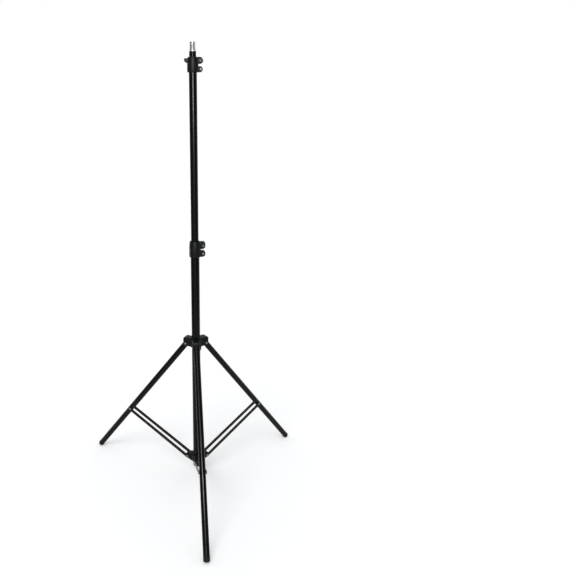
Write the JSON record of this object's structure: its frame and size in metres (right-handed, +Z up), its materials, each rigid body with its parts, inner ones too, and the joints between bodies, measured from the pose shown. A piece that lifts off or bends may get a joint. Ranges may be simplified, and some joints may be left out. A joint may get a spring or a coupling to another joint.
{
  "type": "ring light stand",
  "caption": "Folding light stand with a three-section telescopic mast, screw clamps, a sliding leg collar, braced tube legs and a bright spigot for a lamp.",
  "frame": {"origin": "on the floor, under the centre of the bounding box, which lies in front of the mast because one leg points forward", "axes": "+Z up along the mast, -Y towards the front leg, +X towards the clamps' ears"},
  "size_m": [0.683, 0.5939, 1.344],
  "materials": {
    "black_enamel": "gloss",
    "charcoal_moulding": "satin",
    "black_rubber": "matt",
    "grey_nylon": "satin",
    "bright_steel": "polished",
    "dull_steel": "satin",
    "black_strip": "gloss",
    "brass": "satin"
  },
  "bodies": {
    "base": {"base_tube": "black_enamel", "base_end_plug": "charcoal_moulding", "lower_hub": "charcoal_moulding", "base_clamp": "charcoal_moulding", "base_clamp_nut": "dull_steel", "base_clamp_screw": "bright_steel", "base_clamp_screw_nut": "bright_steel"},
    "base_lever": {"base_lever": "charcoal_moulding", "base_lever_bolt": "dull_steel"},
    "mid": {"mid_tube": "black_enamel", "mid_tube_bush": "grey_nylon", "mid_clamp": "charcoal_moulding", "mid_clamp_nut": "dull_steel", "mid_clamp_screw": "bright_steel", "mid_clamp_screw_nut": "bright_steel"},
    "mid_lever": {"mid_lever": "charcoal_moulding", "mid_lever_bolt": "dull_steel"},
    "top": {"top_tube": "black_enamel", "top_tube_bush": "grey_nylon", "spigot": "bright_steel"},
    "collar": {"leg_collar": "charcoal_moulding", "collar_insert": "brass", "collar_brake_pad": "grey_nylon", "front_pivot_rivet": "bright_steel", "right_pivot_rivet": "bright_steel", "left_pivot_rivet": "bright_steel"},
    "collar_knob": {"collar_knob": "charcoal_moulding", "collar_knob_screw": "dull_steel"},
    "front_leg": {"front_leg_tube": "black_enamel", "front_leg_top_plug": "charcoal_moulding", "front_foot": "black_rubber", "front_leg_rivet_pin": "bright_steel"},
    "front_brace": {"front_brace_strip_1": "black_strip", "front_brace_strip_2": "black_strip", "front_leg_rivet_head_1": "bright_steel", "front_leg_rivet_head_2": "bright_steel", "front_hub_rivet": "bright_steel"},
    "right_leg": {"right_leg_tube": "black_enamel", "right_leg_top_plug": "charcoal_moulding", "right_foot": "black_rubber", "right_leg_rivet_pin": "bright_steel"},
    "right_brace": {"right_brace_strip_1": "black_strip", "right_brace_strip_2": "black_strip", "right_leg_rivet_head_1": "bright_steel", "right_leg_rivet_head_2": "bright_steel", "right_hub_rivet": "bright_steel"},
    "left_leg": {"left_leg_tube": "black_enamel", "left_leg_top_plug": "charcoal_moulding", "left_foot": "black_rubber", "left_leg_rivet_pin": "bright_steel"},
    "left_brace": {"left_brace_strip_1": "black_strip", "left_brace_strip_2": "black_strip", "left_leg_rivet_head_1": "bright_steel", "left_leg_rivet_head_2": "bright_steel", "left_hub_rivet": "bright_steel"}
  },
  "joints": [
    {"name": "collar_slide", "type": "slide", "parent": "base", "child": "collar", "axis": [0, 0, 1], "range_m": [0, 0.20433]},
    {"name": "mid_slide", "type": "slide", "parent": "base", "child": "mid", "axis": [0, 0, 1], "range_m": [-0.46, 0.09]},
    {"name": "top_slide", "type": "slide", "parent": "mid", "child": "top", "axis": [0, 0, 1], "range_m": [0, 0.53]},
    {"name": "base_lever_turn", "type": "hinge", "parent": "base", "child": "base_lever", "pos_m": [0.0245, 0.09574, 0.7765], "axis": [0, 1, 0], "range_deg": [0, 90]},
    {"name": "mid_lever_turn", "type": "hinge", "parent": "mid", "child": "mid_lever", "pos_m": [0.0218, 0.09574, 1.2957], "axis": [0, 1, 0], "range_deg": [0, 180]},
    {"name": "collar_knob_turn", "type": "hinge", "parent": "collar", "child": "collar_knob", "pos_m": [0, 0.09574, 0.4684], "axis": [0, 1, 0], "range_deg": [0, 270]},
    {"name": "front_leg_pivot", "type": "hinge", "parent": "collar", "child": "front_leg", "pos_m": [0, 0.06424, 0.4619], "axis": [1, 0, 0], "range_deg": [0, 37.82]},
    {"name": "right_leg_pivot", "type": "hinge", "parent": "collar", "child": "right_leg", "pos_m": [0.02728, 0.11149, 0.4619], "axis": [-0.5, 0.866, 0], "range_deg": [0, 37.82]},
    {"name": "left_leg_pivot", "type": "hinge", "parent": "collar", "child": "left_leg", "pos_m": [-0.02728, 0.11149, 0.4619], "axis": [-0.5, -0.866, 0], "range_deg": [0, 37.82]},
    {"name": "front_brace_pivot", "type": "hinge", "parent": "base", "child": "front_brace", "pos_m": [0, 0.06424, 0.064], "axis": [1, 0, 0], "range_deg": [-61.67, 0]},
    {"name": "right_brace_pivot", "type": "hinge", "parent": "base", "child": "right_brace", "pos_m": [0.02728, 0.11149, 0.064], "axis": [-0.5, 0.866, 0], "range_deg": [-61.67, 0]},
    {"name": "left_brace_pivot", "type": "hinge", "parent": "base", "child": "left_brace", "pos_m": [-0.02728, 0.11149, 0.064], "axis": [-0.5, -0.866, 0], "range_deg": [-61.67, 0]}
  ],
  "couplings": [
    {"joint": "front_leg_pivot", "follows": "collar_slide", "rad_per_m": 3.2287},
    {"joint": "right_leg_pivot", "follows": "collar_slide", "rad_per_m": 3.2287},
    {"joint": "left_leg_pivot", "follows": "collar_slide", "rad_per_m": 3.2287},
    {"joint": "front_brace_pivot", "follows": "collar_slide", "rad_per_m": -5.266},
    {"joint": "right_brace_pivot", "follows": "collar_slide", "rad_per_m": -5.266},
    {"joint": "left_brace_pivot", "follows": "collar_slide", "rad_per_m": -5.266}
  ]
}
